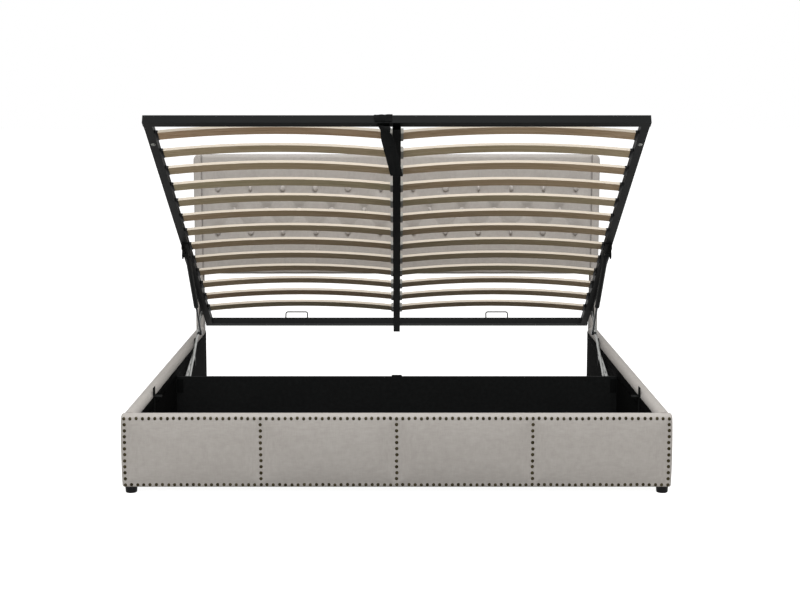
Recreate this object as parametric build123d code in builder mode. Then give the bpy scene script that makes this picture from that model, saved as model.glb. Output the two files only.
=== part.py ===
"""King-size ottoman storage bed, drawn with its slatted deck lifted.

Upholstered foot board and side rails stand on glide feet. A tufted headboard
hangs between two upholstered posts. A steel deck with sprung slats is carried at
each side by a four-bar lift of a front link and a rear link, helped by a gas
strut whose rod pin runs in a slot of the front link. The storage box takes the
foot half of the bed, between the foot board and a divider.

Millimetres, +Z up, +Y from foot to head. The origin is on the floor, midway
between the sides and midway between the foot face and the headboard back.
"""

import os
from math import atan2, cos, degrees, hypot, radians, sin

from build123d import *

os.makedirs("parts", exist_ok=True)

# Driving sizes of the bed
mattress_width = 1930.0
mattress_length = 2032.0
mattress_end_gap = 39.0
rail_thickness = 50.0
board_height = 266.0
foot_height = 25.0
headboard_depth = 79.0
headboard_top = 1170.0
panel_bottom = 571.0
seat_clearance = 0.3
pin_clearance = 0.1

# Sizes that follow from them
half_bay = mattress_width / 2
half_width = half_bay + rail_thickness
bay_length = mattress_length + mattress_end_gap
overall_length = rail_thickness + bay_length + headboard_depth
foot_face = -overall_length / 2
bay_start = foot_face + rail_thickness
head_face = bay_start + bay_length
head_back = head_face + headboard_depth
rail_top = foot_height + board_height

# Upholstery of the boards
pad_thickness = 14.0
pad_radius = 9.0
hem_thickness = 4.0
lining_thickness = 4.0
return_height = 35.0
core_thickness = rail_thickness - pad_thickness - lining_thickness
core_bottom = foot_height + hem_thickness
core_top = rail_top - pad_thickness
lining_top = core_top - return_height
core_height = core_top - core_bottom
lining_height = lining_top - core_bottom

# Headboard
post_width = 38.0
post_radius = 8.0
post_corner_radius = 26.0
headboard_pad_depth = 57.0
pad_edge_radius = 16.0
button_columns = 12
button_rows = 3
button_pitch = 163.0
button_row_pitch = 109.0
button_top_row = 1015.0
button_radius = 13.0
button_tip_radius = 8.0
button_height = 6.0
tuft_radius = 30.0
tuft_depth = 22.0
pleat_half_width = 9.0
pleat_depth = 9.0
half_panel = half_width - post_width
panel_height = headboard_top - panel_bottom
board_depth = headboard_depth - headboard_pad_depth

# Glide feet
glide_radius = 23.0
glide_foot_radius = 21.0
glide_edge = 5.0
glide_side_inset = 29.0
glide_end_inset = 27.0
runner_glide_share = 0.3

# Storage box
divider_thickness = 16.0
divider_top = 241.0
storage_length = 1022.0
batten_width = 20.0
batten_height = 20.0
runner_width = 40.0
floor_thickness = 4.0
rest_pad_width = 44.0
rest_pad_height = 5.7
divider_bracket_width = 30.0
divider_bracket_height = 60.0
divider_bracket_gauge = 2.0
divider_bracket_drop = 70.0
divider_front = bay_start + storage_length
divider_back = divider_front + divider_thickness
floor_top = foot_height + batten_height + floor_thickness

# Deck of steel tube, open pose
lift_angle = 30.0
deck_end_gap = 10.0
deck_side_gap = 8.0
deck_overhang = 63.0
deck_shift = 214.0
deck_rise = 1081.0
tube = 32.0
tube_wall = 1.6
end_cap_thickness = 2.0
deck_width = mattress_width - 2 * deck_side_gap
half_deck = deck_width / 2
deck_length = mattress_length + deck_overhang
deck_closed_height = divider_top + rest_pad_height + seat_clearance + tube
deck_open_y = bay_start + deck_end_gap + deck_shift
deck_open_z = deck_closed_height + deck_rise

# Slats and their holders
slat_rows = 13
slat_width = 56.0
slat_thickness = 11.0
slat_rise = 26.0
slat_first = 115.0
slat_last_margin = 222.0
slat_insert_share = 0.75
side_holder_length = 18.0
centre_holder_length = 26.0
holder_wall = 3.0
holder_height = 22.0
holder_floor = 3.0
holder_pocket_height = 15.4

# Lift mechanism: layers across the bed, measured inwards from the rail's inner face
plate_gauge = 3.0
link_gauge = 4.0
rear_link_offset = 7.0
coupler_offset = 12.0
front_link_offset = 17.0
strut_offset = 34.0
# Pivots on the base, from the foot face and the floor
front_base_y = 1342.8
front_base_z = 180.0
rear_base_y = 1586.5
rear_base_z = 235.0
# Pivots on the deck, from its foot end and below its underside
front_deck_s = 1785.1
front_deck_drop = 62.0
rear_deck_s = 1840.1
rear_deck_drop = 37.8
knuckle_s = 1140.0
knuckle_drop = 36.0
pivot_radius = 6.0
pivot_head_radius = 9.5
pivot_head_thickness = 1.7
open_pivot_clearance = 1.0
link_half_width = 16.0
plate_half_width = 20.0
top_plate_depth = 24.0
top_plate_margin = 45.0
ear_radius = 18.0
strut_pin_share = 0.7
strut_pin_radius = 5.0
strut_slot_reach = 22.5
strut_slot_half_width = 9.4
strut_slot_lift = 1.1
strut_boss_radius = 21.0
cylinder_radius = 11.0
cylinder_length = 365.0
cylinder_bore = 9.0
rod_radius = 5.0
rod_inset = 60.0
eye_radius = 10.0
eye_thickness = 12.0
eye_neck = 14.0

# Brackets on the rails
seat_bracket_y = 454.0
guide_bracket_y = 1680.0
bracket_width = 40.0
bracket_bottom = 180.0
bracket_tongue = 23.0
seat_flange = 33.0

# Strap and mattress retainers
strap_x = -51.0
strap_loop_width = 62.0
strap_neck_width = 34.0
strap_width = 50.0
strap_thickness = 3.0
strap_drop = 195.0
strap_lean = 36.0
retainer_x = 504.0
retainer_width = 115.0
retainer_height = 40.0
retainer_wire = 6.0
retainer_bend = 10.0

deck = Plane(
    origin=(0, deck_open_y, deck_open_z),
    x_dir=(1, 0, 0),
    z_dir=(0, sin(radians(lift_angle)), cos(radians(lift_angle))),
)
sides = {"left": -1, "right": 1}


def save(piece, name):
    """Labels a finished piece and writes it to its own file."""
    piece.part.label = name
    export_step(piece.part, f"parts/{name}.step")


def layer(side, offset, thickness):
    """Lowest X of a layer that starts offset inside the rail face and grows inwards."""
    outer = half_bay - offset
    return outer - thickness if side > 0 else -outer


def base_plane(x):
    """Side-on plane at x: sketch across is distance from the foot face, up is height."""
    return Plane(origin=(x, foot_face, 0), x_dir=(0, 1, 0), z_dir=(1, 0, 0))


def deck_side_plane(x):
    """Side-on plane at x in the lifted deck: across is along the deck, up is its normal."""
    return Plane(origin=(x, deck_open_y, deck_open_z), x_dir=deck.y_dir, z_dir=(1, 0, 0))


def deck_cross_plane(s):
    """Plane across the lifted deck at s from its foot end, facing the head."""
    centre = deck.from_local_coords(Vector(0, s, 0))
    return Plane(origin=centre, x_dir=(-1, 0, 0), z_dir=deck.y_dir)


def deck_point(s, drop):
    """A place on the lifted deck, as distance from the foot face and height."""
    point = deck.from_local_coords(Vector(0, s, -drop))
    return point.Y - foot_face, point.Z


def tuft_places():
    """Button centres on the headboard, as X and Z, row by row."""
    for row in range(button_rows):
        offset = row % 2
        count = button_columns - offset
        for column in range(count):
            x = (column - (count - 1) / 2) * button_pitch
            yield row, x, button_top_row - row * button_row_pitch


def pleat_lines():
    """Ends of the sewn folds: diagonals between rows, and straight folds to the edges."""
    places = list(tuft_places())
    for row, x, z in places:
        if row == 0:
            yield (x, z), (x, headboard_top)
        if row == button_rows - 1:
            yield (x, z), (x, panel_bottom)
        for other_row, other_x, other_z in places:
            if other_row == row + 1 and abs(other_x - x) < button_pitch * 0.6:
                yield (x, z), (other_x, other_z)


# Foot board: padded cover, core and inner lining
def board_box(x_half, y_low, y_high, z_low, z_high, mode):
    """A block across the bed between two Y and two Z places."""
    with BuildSketch(Plane.YZ.offset(-x_half)) as end_face:
        with Locations(((y_low + y_high) / 2, (z_low + z_high) / 2)):
            Rectangle(y_high - y_low, z_high - z_low)
    extrude(end_face.sketch, amount=2 * x_half, mode=mode)


core_front = foot_face + pad_thickness
lining_front = bay_start - lining_thickness
core_half = half_width - pad_thickness

with BuildPart() as footboard_cover:
    board_box(half_width, foot_face, bay_start, foot_height, rail_top, Mode.ADD)
    front_edges = footboard_cover.faces().sort_by(Axis.Y)[0].edges()
    fillet(front_edges, radius=pad_radius)
    board_box(core_half, core_front, lining_front, core_bottom, core_top, Mode.SUBTRACT)
    board_box(core_half, lining_front, bay_start, core_bottom, lining_top, Mode.SUBTRACT)
save(footboard_cover, "footboard_cover")

with BuildPart() as footboard_core:
    board_box(core_half, core_front, lining_front, core_bottom, core_top, Mode.ADD)
save(footboard_core, "footboard_core")

with BuildPart() as footboard_lining:
    board_box(core_half, lining_front, bay_start, core_bottom, lining_top, Mode.ADD)
save(footboard_lining, "footboard_lining")


# Side rails: the same build-up, running from the foot board to the posts
def rail_rectangle(side, x_low, x_high, z_low, z_high, mode=Mode.ADD):
    with Locations((side * (x_low + x_high) / 2, (z_low + z_high) / 2)):
        Rectangle(x_high - x_low, z_high - z_low, mode=mode)


def make_rail(name, side):
    core_inner = half_bay + lining_thickness
    core_outer = half_width - pad_thickness
    section = Plane.XZ.offset(-head_face)
    with BuildPart() as cover:
        with BuildSketch(section) as profile:
            rail_rectangle(side, half_bay, half_width, foot_height, rail_top)
            outer = profile.vertices().group_by(Axis.X)[-1 if side > 0 else 0]
            fillet(outer, radius=pad_radius)
            rail_rectangle(side, core_inner, core_outer, core_bottom, core_top, Mode.SUBTRACT)
            rail_rectangle(side, half_bay, core_inner, core_bottom, lining_top, Mode.SUBTRACT)
        extrude(amount=bay_length)
    save(cover, f"{name}_rail_cover")

    with BuildPart() as core:
        with BuildSketch(section):
            rail_rectangle(side, core_inner, core_outer, core_bottom, core_top)
        extrude(amount=bay_length)
    save(core, f"{name}_rail_core")

    with BuildPart() as lining:
        with BuildSketch(section):
            rail_rectangle(side, half_bay, core_inner, core_bottom, lining_top)
        extrude(amount=bay_length)
    save(lining, f"{name}_rail_lining")


for name, side in sides.items():
    make_rail(name, side)


# Headboard posts, board, tufted pad and buttons
def make_post(name, side):
    with BuildPart() as post:
        with BuildSketch(Plane.XZ.offset(-head_back)) as profile:
            rail_rectangle(side, half_panel, half_width, foot_height, headboard_top)
            top_corner = profile.vertices().group_by(Axis.Y)[-1].sort_by(Axis.X)[-1 if side > 0 else 0]
            fillet(top_corner, radius=post_corner_radius)
        extrude(amount=headboard_depth)
        front_edges = post.faces().sort_by(Axis.Y)[0].edges()
        fillet(front_edges, radius=post_radius)
    save(post, f"headboard_{name}_post")


for name, side in sides.items():
    make_post(name, side)

with BuildPart() as headboard_board:
    with BuildSketch(Plane.XZ.offset(-head_back)):
        with Locations((0, panel_bottom + panel_height / 2)):
            Rectangle(2 * half_panel, panel_height)
    extrude(amount=board_depth)
save(headboard_board, "headboard_board")


def cut_pleat(start, end):
    """Cuts one V-shaped fold into the pad's front face, from start to end in X and Z."""
    length = hypot(end[0] - start[0], end[1] - start[1])
    along = Vector((end[0] - start[0]) / length, 0, (end[1] - start[1]) / length)
    inwards = Vector(0, 1, 0)
    across = inwards.cross(along)
    with BuildSketch(Plane(origin=(start[0], head_face, start[1]), x_dir=across, z_dir=along)) as fold:
        with BuildLine():
            Polyline(
                (-pleat_half_width, -pleat_depth),
                (pleat_half_width, -pleat_depth),
                (0, pleat_depth),
                close=True,
            )
        make_face()
    extrude(fold.sketch, amount=length, mode=Mode.SUBTRACT)


with BuildPart() as headboard_pad:
    with BuildSketch(Plane.XZ.offset(-(head_face + headboard_pad_depth))):
        with Locations((0, panel_bottom + panel_height / 2)):
            Rectangle(2 * half_panel, panel_height)
    extrude(amount=headboard_pad_depth)
    front_edges = headboard_pad.faces().sort_by(Axis.Y)[0].edges()
    fillet(front_edges, radius=pad_edge_radius)
    for start, end in pleat_lines():
        cut_pleat(start, end)
    tuft_centres = [
        Plane(origin=(x, head_face + tuft_depth / 2, z), z_dir=(0, 1, 0)) for row, x, z in tuft_places()
    ]
    with Locations(*[Location(place) for place in tuft_centres]):
        Cone(tuft_radius, button_radius, tuft_depth, mode=Mode.SUBTRACT)
save(headboard_pad, "headboard_pad")

with BuildPart() as headboard_buttons:
    button_centres = [
        Plane(origin=(x, head_face + tuft_depth - button_height / 2, z), z_dir=(0, -1, 0))
        for row, x, z in tuft_places()
    ]
    with Locations(*[Location(place) for place in button_centres]):
        Cone(button_radius - seat_clearance, button_tip_radius, button_height)
save(headboard_buttons, "headboard_buttons")

# Glide feet: under the corners, mid-rail and the centre runner
glide_x = half_width - glide_side_inset
glide_places = [
    (side * glide_x, y)
    for side in sides.values()
    for y in (foot_face + glide_end_inset, (bay_start + head_face) / 2, head_back - headboard_depth / 2)
]
glide_places += [(0, bay_start + storage_length * share) for share in (runner_glide_share, 1 - runner_glide_share)]

with BuildPart() as glide_feet:
    with Locations(*[(x, y, foot_height / 2) for x, y in glide_places]):
        Cone(glide_foot_radius, glide_radius, foot_height)
    fillet(glide_feet.edges().group_by(Axis.Z)[0], radius=glide_edge)
save(glide_feet, "glide_feet")

# Storage box: battens, runner, floor panels, divider and its brackets
storage_middle = (bay_start + divider_front) / 2

with BuildPart() as floor_battens:
    with BuildSketch(Plane.XY.offset(foot_height)):
        for side in sides.values():
            with Locations((side * (half_bay - batten_width / 2), storage_middle)):
                Rectangle(batten_width, storage_length)
    extrude(amount=batten_height)
save(floor_battens, "floor_battens")

with BuildPart() as centre_runner:
    with BuildSketch(Plane.XY.offset(foot_height)):
        with Locations((0, storage_middle)):
            Rectangle(runner_width, storage_length)
    extrude(amount=batten_height)
save(centre_runner, "centre_runner")

for name, side in sides.items():
    with BuildPart() as floor_panel:
        with BuildSketch(Plane.XY.offset(foot_height + batten_height)):
            with Locations((side * half_bay / 2, storage_middle)):
                Rectangle(half_bay, storage_length)
        extrude(amount=floor_thickness)
    save(floor_panel, f"{name}_floor_panel")

with BuildPart() as divider_board:
    board_box(half_bay, divider_front, divider_back, core_bottom, divider_top, Mode.ADD)
save(divider_board, "divider_board")

with BuildPart() as divider_brackets:
    for side in sides.values():
        rail_edge = side * half_bay
        with BuildSketch(Plane.XY.offset(divider_top - divider_bracket_drop)):
            with BuildLine():
                reach = side * divider_bracket_width
                gauge = side * divider_bracket_gauge
                Polyline(
                    (rail_edge, divider_front),
                    (rail_edge, divider_front - divider_bracket_width),
                    (rail_edge - gauge, divider_front - divider_bracket_width),
                    (rail_edge - gauge, divider_front - divider_bracket_gauge),
                    (rail_edge - reach, divider_front - divider_bracket_gauge),
                    (rail_edge - reach, divider_front),
                    close=True,
                )
            make_face()
        extrude(amount=divider_bracket_height)
save(divider_brackets, "divider_brackets")

with BuildPart() as rest_pad:
    with BuildSketch(Plane.XY.offset(divider_top)):
        with Locations((0, (divider_front + divider_back) / 2)):
            Rectangle(rest_pad_width, divider_thickness)
    extrude(amount=rest_pad_height)
save(rest_pad, "rest_pad")

# Brackets on the rails: seats near the foot, guide tongues near the head
tongue_top = rail_top + bracket_tongue
seat_top = deck_closed_height - seat_clearance

with BuildPart() as seat_brackets:
    for side in sides.values():
        with BuildSketch(Plane.XZ.offset(-(foot_face + seat_bracket_y + bracket_width / 2))):
            with BuildLine():
                Polyline(
                    (side * half_bay, bracket_bottom),
                    (side * half_bay, tongue_top),
                    (side * (half_bay - plate_gauge), tongue_top),
                    (side * (half_bay - plate_gauge), seat_top),
                    (side * (half_bay - seat_flange), seat_top),
                    (side * (half_bay - seat_flange), seat_top - plate_gauge),
                    (side * (half_bay - plate_gauge), seat_top - plate_gauge),
                    (side * (half_bay - plate_gauge), bracket_bottom),
                    close=True,
                )
            make_face()
        extrude(amount=bracket_width)
save(seat_brackets, "seat_brackets")

with BuildPart() as guide_brackets:
    for side in sides.values():
        with BuildSketch(base_plane(layer(side, 0, plate_gauge))) as outline:
            with Locations((guide_bracket_y, (bracket_bottom + tongue_top) / 2)):
                Rectangle(bracket_width, tongue_top - bracket_bottom)
            fillet(outline.vertices().group_by(Axis.Z)[-1], radius=bracket_width / 4)
        extrude(amount=plate_gauge)
save(guide_brackets, "guide_brackets")


# Deck frame of square tube
def square_tube():
    """Sketches a hollow square section centred on the present location."""
    Rectangle(tube, tube)
    Rectangle(tube - 2 * tube_wall, tube - 2 * tube_wall, mode=Mode.SUBTRACT)


for name, s_centre in (("foot_tube", tube / 2), ("head_tube", deck_length - tube / 2)):
    with BuildPart() as cross_tube:
        with BuildSketch(deck_side_plane(-half_deck)):
            with Locations((s_centre, tube / 2)):
                square_tube()
        extrude(amount=deck_width)
    save(cross_tube, name)

for name, side in sides.items():
    with BuildPart() as side_tube:
        with BuildSketch(deck_cross_plane(tube)):
            with Locations((-side * (half_deck - tube / 2), tube / 2)):
                square_tube()
        extrude(amount=deck_length - 2 * tube)
    save(side_tube, f"{name}_side_tube")

with BuildPart() as centre_beam:
    with BuildSketch(deck_cross_plane(0)):
        with Locations((0, -tube / 2)):
            square_tube()
    extrude(amount=deck_length)
save(centre_beam, "centre_beam")

with BuildPart() as tube_end_caps:
    for side in sides.values():
        cap_x = half_deck if side > 0 else -half_deck - end_cap_thickness
        with BuildSketch(deck_side_plane(cap_x)):
            with Locations((tube / 2, tube / 2), (deck_length - tube / 2, tube / 2)):
                Rectangle(tube, tube)
        extrude(amount=end_cap_thickness)
save(tube_end_caps, "tube_end_caps")

# Slats and holders
slat_pitch = (deck_length - slat_last_margin - slat_first) / (slat_rows - 1)
holder_width = slat_width + 2 * holder_wall
side_holder_edge = half_deck - tube - side_holder_length
slat_inner = centre_holder_length * (1 - slat_insert_share)
slat_outer = side_holder_edge + side_holder_length * slat_insert_share
slat_span = slat_outer - slat_inner
slat_middle = (slat_outer + slat_inner) / 2
slat_seat = holder_floor + seat_clearance


def slat_profile():
    """Sketches one bowed slat as seen along the deck, centred on the present location."""
    half = slat_span / 2
    with BuildLine() as bow:
        ThreePointArc((-half, slat_seat), (0, slat_seat + slat_rise), (half, slat_seat))
        Line((half, slat_seat), (half, slat_seat + slat_thickness))
        ThreePointArc(
            (half, slat_seat + slat_thickness),
            (0, slat_seat + slat_rise + slat_thickness),
            (-half, slat_seat + slat_thickness),
        )
        Line((-half, slat_seat + slat_thickness), (-half, slat_seat))
    make_face(bow.line)


for row in range(slat_rows):
    row_start = slat_first + row * slat_pitch - slat_width / 2
    with BuildPart() as slat_row:
        row_plane = deck_cross_plane(row_start)
        for side in sides.values():
            slat_plane = Plane(
                origin=row_plane.from_local_coords(Vector(side * slat_middle, 0, 0)),
                x_dir=row_plane.x_dir,
                z_dir=row_plane.z_dir,
            )
            with BuildSketch(slat_plane):
                slat_profile()
            extrude(amount=slat_width)
    save(slat_row, f"slat_row_{row + 1:02d}")


def make_holders(name, length, edge, facing):
    """Slat holders at both sides: blocks from edge outwards whose pocket opens towards the slat."""
    rows = [slat_first + row * slat_pitch for row in range(slat_rows)]
    pocket_length = length * slat_insert_share + seat_clearance
    mouth = 0 if facing < 0 else length
    with BuildPart() as holders:
        for side in sides.values():
            with BuildSketch(deck) as blocks:
                with Locations(*[(side * (edge + length / 2), s) for s in rows]):
                    Rectangle(length, holder_width)
            extrude(amount=holder_height)
            pocket_x = side * (edge + mouth - facing * pocket_length / 2)
            with BuildSketch(deck.offset(holder_floor)) as pockets:
                with Locations(*[(pocket_x, s) for s in rows]):
                    Rectangle(pocket_length, slat_width + 2 * seat_clearance)
            extrude(amount=holder_pocket_height, mode=Mode.SUBTRACT)
    save(holders, name)


make_holders("side_slat_holders", side_holder_length, side_holder_edge, -1)
make_holders("centre_slat_holders", centre_holder_length, 0, 1)


# Lift mechanism
def distance(start, end):
    return hypot(end[0] - start[0], end[1] - start[1])


def bearing(start, end):
    return degrees(atan2(end[1] - start[1], end[0] - start[0]))


def disc(plane, centre, radius, thickness, mode=Mode.ADD):
    """A round boss, pin or hole that grows from plane towards +X."""
    with BuildSketch(plane) as round_face:
        with Locations(centre):
            Circle(radius)
    extrude(round_face.sketch, amount=thickness, mode=mode)


def pin_between(side, centre, radius, offset_out, offset_in, mode=Mode.ADD):
    """A round pin across the layers, between two offsets inside the rail's inner face."""
    disc(base_plane(layer(side, offset_out, offset_in - offset_out)), centre, radius, offset_in - offset_out, mode)


front_base = (front_base_y, front_base_z)
rear_base = (rear_base_y, rear_base_z)
front_deck = deck_point(front_deck_s, front_deck_drop)
rear_deck = deck_point(rear_deck_s, rear_deck_drop)
knuckle = deck_point(knuckle_s, knuckle_drop)
front_angle = bearing(front_base, front_deck)
front_length = distance(front_base, front_deck)
strut_pin_reach = strut_pin_share * front_length
strut_pin = (
    front_base_y + strut_pin_reach * cos(radians(front_angle)),
    front_base_z + strut_pin_reach * sin(radians(front_angle)),
)
strut_angle = bearing(knuckle, strut_pin)
strut_length = distance(knuckle, strut_pin)
rear_angle = bearing(rear_base, rear_deck)
rear_length = distance(rear_base, rear_deck)


def strap_outline(start, angle, length, half_width_of_strap):
    """Sketches a flat bar with round ends between two pivots."""
    middle = (
        start[0] + length / 2 * cos(radians(angle)),
        start[1] + length / 2 * sin(radians(angle)),
    )
    with Locations(Location((middle[0], middle[1], 0), (0, 0, angle))):
        SlotCenterToCenter(length, 2 * half_width_of_strap)


def make_base_plate(name, side):
    """Zinc plate on the rail with the two base pivots."""
    plate_angle = bearing(front_base, rear_base)
    plate_length = distance(front_base, rear_base)
    with BuildPart() as plate:
        with BuildSketch(base_plane(layer(side, 0, plate_gauge))):
            strap_outline(front_base, plate_angle, plate_length, plate_half_width)
            for share in (1 / 3, 2 / 3):
                slot_centre = (
                    front_base_y + share * (rear_base_y - front_base_y),
                    front_base_z + share * (rear_base_z - front_base_z),
                )
                with Locations(Location((slot_centre[0], slot_centre[1], 0), (0, 0, plate_angle))):
                    SlotCenterToCenter(plate_half_width, plate_half_width / 2, mode=Mode.SUBTRACT)
        extrude(amount=plate_gauge)
        link_gap = front_link_offset - seat_clearance
        pin_between(side, front_base, pivot_head_radius, plate_gauge, link_gap)
        pin_between(side, front_base, pivot_radius, link_gap, front_link_offset + link_gauge + seat_clearance)
        head_start = front_link_offset + link_gauge + seat_clearance
        pin_between(side, front_base, pivot_head_radius, head_start, head_start + pivot_head_thickness)
        rear_gap = rear_link_offset - seat_clearance
        pin_between(side, rear_base, pivot_head_radius, plate_gauge, rear_gap)
        rear_head = rear_link_offset + link_gauge + seat_clearance
        pin_between(side, rear_base, pivot_radius, rear_gap, rear_head)
        pin_between(side, rear_base, pivot_head_radius, rear_head, rear_head + pivot_head_thickness)
    save(plate, f"{name}_base_plate")


def make_front_link(name, side):
    """Long zinc link with the slot for the strut's pin."""
    with BuildPart() as link:
        with BuildSketch(base_plane(layer(side, front_link_offset, link_gauge))):
            strap_outline(front_base, front_angle, front_length, link_half_width)
            slot_turn = Location((strut_pin[0], strut_pin[1], 0), (0, 0, front_angle))
            with Locations(slot_turn):
                with Locations((strut_slot_reach / 2, strut_slot_lift)):
                    SlotCenterToCenter(strut_slot_reach, 2 * strut_boss_radius)
                    SlotCenterToCenter(strut_slot_reach, 2 * strut_slot_half_width, mode=Mode.SUBTRACT)
            with Locations(front_base, front_deck):
                Circle(pivot_radius + pin_clearance, mode=Mode.SUBTRACT)
        extrude(amount=link_gauge)
    save(link, f"{name}_front_link")


def make_rear_link(name, side):
    """Short black link; its deck pivot is the open one and has a wider hole."""
    with BuildPart() as link:
        with BuildSketch(base_plane(layer(side, rear_link_offset, link_gauge))):
            strap_outline(rear_base, rear_angle, rear_length, link_half_width)
            with Locations(rear_base):
                Circle(pivot_radius + pin_clearance, mode=Mode.SUBTRACT)
            with Locations(rear_deck):
                Circle(pivot_radius + open_pivot_clearance, mode=Mode.SUBTRACT)
        extrude(amount=link_gauge)
    save(link, f"{name}_rear_link")


def make_top_plate(name, side):
    """Black angle under the side tube with ears for the links and the strut."""
    coupler_x = layer(side, coupler_offset, link_gauge)
    start_s = knuckle_s - top_plate_margin
    end_s = rear_deck_s + top_plate_margin
    flange_outer = half_bay - coupler_offset
    flange_inner = half_deck - tube
    with BuildPart() as plate:
        with BuildSketch(deck_side_plane(coupler_x)):
            with Locations(((start_s + end_s) / 2, -top_plate_depth / 2)):
                Rectangle(end_s - start_s, top_plate_depth)
            for s, drop in (
                (knuckle_s, knuckle_drop),
                (front_deck_s, front_deck_drop),
                (rear_deck_s, rear_deck_drop),
            ):
                with Locations((s, -drop)):
                    Circle(ear_radius)
                with Locations((s, -drop / 2)):
                    Rectangle(2 * ear_radius, drop)
        extrude(amount=link_gauge)
        with BuildSketch(deck.offset(-plate_gauge)):
            with Locations((side * (flange_outer + flange_inner) / 2, (start_s + end_s) / 2)):
                Rectangle(flange_outer - flange_inner, end_s - start_s)
        extrude(amount=plate_gauge)
        pin_between(side, front_deck, pivot_radius, coupler_offset + link_gauge, front_link_offset + link_gauge)
        front_head = front_link_offset + link_gauge + seat_clearance
        pin_between(side, front_deck, pivot_radius, front_link_offset + link_gauge, front_head)
        pin_between(side, front_deck, pivot_head_radius, front_head, front_head + pivot_head_thickness)
        rear_head = rear_link_offset - seat_clearance
        pin_between(side, rear_deck, pivot_radius, rear_head, coupler_offset)
        pin_between(side, rear_deck, pivot_head_radius, rear_head - pivot_head_thickness, rear_head)
        eye_face = strut_offset - eye_thickness / 2
        knuckle_boss = eye_face - seat_clearance
        pin_between(side, knuckle, pivot_head_radius, coupler_offset + link_gauge, knuckle_boss)
        pin_between(side, knuckle, strut_pin_radius, knuckle_boss, strut_offset + eye_thickness / 2)
    save(plate, f"{name}_top_plate")


def strut_axis_plane(side, reach):
    """Plane square to the strut at reach from the knuckle, facing its lower end."""
    along = Vector(0, cos(radians(strut_angle)), sin(radians(strut_angle)))
    x = side * (half_bay - strut_offset)
    start = Vector(x, foot_face + knuckle[0], knuckle[1])
    return Plane(origin=start + along * reach, x_dir=(1, 0, 0), z_dir=along)


def make_strut(name, side):
    """Gas strut: cylinder with its eye on the knuckle, rod with its eye on the front link."""
    eye_x = layer(side, strut_offset - eye_thickness / 2, eye_thickness)
    with BuildPart() as cylinder:
        with BuildSketch(strut_axis_plane(side, eye_neck)):
            Circle(cylinder_radius)
        extrude(amount=cylinder_length)
        disc(base_plane(eye_x), knuckle, eye_radius, eye_thickness)
        with BuildSketch(strut_axis_plane(side, 0)):
            Rectangle(eye_thickness, 2 * eye_radius)
        extrude(amount=eye_neck)
        disc(base_plane(eye_x), knuckle, strut_pin_radius + pin_clearance, eye_thickness, Mode.SUBTRACT)
        with BuildSketch(strut_axis_plane(side, eye_neck + cylinder_bore)):
            Circle(rod_radius + seat_clearance)
        extrude(amount=cylinder_length, mode=Mode.SUBTRACT)
    save(cylinder, f"{name}_strut_cylinder")

    rod_start = eye_neck + cylinder_length - rod_inset - strut_stroke
    with BuildPart() as rod:
        with BuildSketch(strut_axis_plane(side, rod_start)):
            Circle(rod_radius)
        extrude(amount=strut_length - rod_start - eye_radius / 2)
        disc(base_plane(eye_x), strut_pin, eye_radius, eye_thickness)
        pin_between(side, strut_pin, strut_pin_radius, front_link_offset, strut_offset)
        head_out = front_link_offset - seat_clearance
        pin_between(side, strut_pin, strut_pin_radius, head_out, front_link_offset)
        pin_between(side, strut_pin, pivot_head_radius + seat_clearance, head_out - pivot_head_thickness, head_out)
    save(rod, f"{name}_strut_rod")


# How far the rod slides in when the deck closes
strut_stroke = 90.0

for name, side in sides.items():
    make_base_plate(name, side)
    make_front_link(name, side)
    make_rear_link(name, side)
    make_top_plate(name, side)
    make_strut(name, side)

# Pull strap: a loop round the foot tube and a tail that hangs down and leans to the middle
strap_gap = seat_clearance
loop_inner = tube + 2 * strap_gap
loop_outer = loop_inner + 2 * strap_thickness
strap_hang_y, strap_hang_z = deck_point(0, strap_gap + strap_thickness / 2)

with BuildPart() as pull_strap:
    with BuildSketch(deck_side_plane(strap_x - strap_loop_width / 2)) as loop:
        with Locations((tube / 2, tube / 2)):
            Rectangle(loop_outer, loop_outer)
            fillet(loop.vertices(), radius=strap_thickness)
            Rectangle(loop_inner, loop_inner, mode=Mode.SUBTRACT)
    extrude(amount=strap_loop_width)
    tail_front = foot_face + strap_hang_y - strap_thickness / 2
    with BuildSketch(Plane.XZ.offset(-(tail_front + strap_thickness))):
        with BuildLine():
            tail_x = strap_x + strap_lean / 3
            tip_x = strap_x + strap_lean
            widest = strap_hang_z - strap_drop / 4
            Polyline(
                (strap_x - strap_neck_width / 2, strap_hang_z),
                (tail_x - strap_width / 2, widest),
                (tip_x - strap_width / 2, strap_hang_z - strap_drop),
                (tip_x + strap_width / 2, strap_hang_z - strap_drop),
                (tail_x + strap_width / 2, widest),
                (strap_x + strap_neck_width / 2, strap_hang_z),
                close=True,
            )
        make_face()
    extrude(amount=strap_thickness)
save(pull_strap, "pull_strap")

# Wire retainers that stop the mattress sliding off the head end
with BuildPart() as mattress_retainers:
    for side in sides.values():
        foot_plane = deck_cross_plane(deck_length - tube / 2)
        centre_x = -side * retainer_x
        half = retainer_width / 2 - retainer_wire / 2
        top = tube + retainer_height - retainer_wire / 2
        with BuildLine(foot_plane) as wire:
            FilletPolyline(
                (centre_x - half, tube),
                (centre_x - half, top),
                (centre_x + half, top),
                (centre_x + half, tube),
                radius=retainer_bend,
            )
        with BuildSketch(Plane(origin=wire.line @ 0, z_dir=wire.line % 0)):
            Circle(retainer_wire / 2)
        sweep(path=wire.line)
save(mattress_retainers, "mattress_retainers")
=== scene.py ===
"""Looks of an ottoman storage bed with its slatted deck lifted.

Padded linen boards with nailhead trim, a tufted headboard, bent slats in a black
steel deck, and the lift mechanism, each built round its CAD node. Metres.
"""

import math
import random

import bmesh
import bpy
import numpy as np
from mathutils import Matrix, Vector


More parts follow.
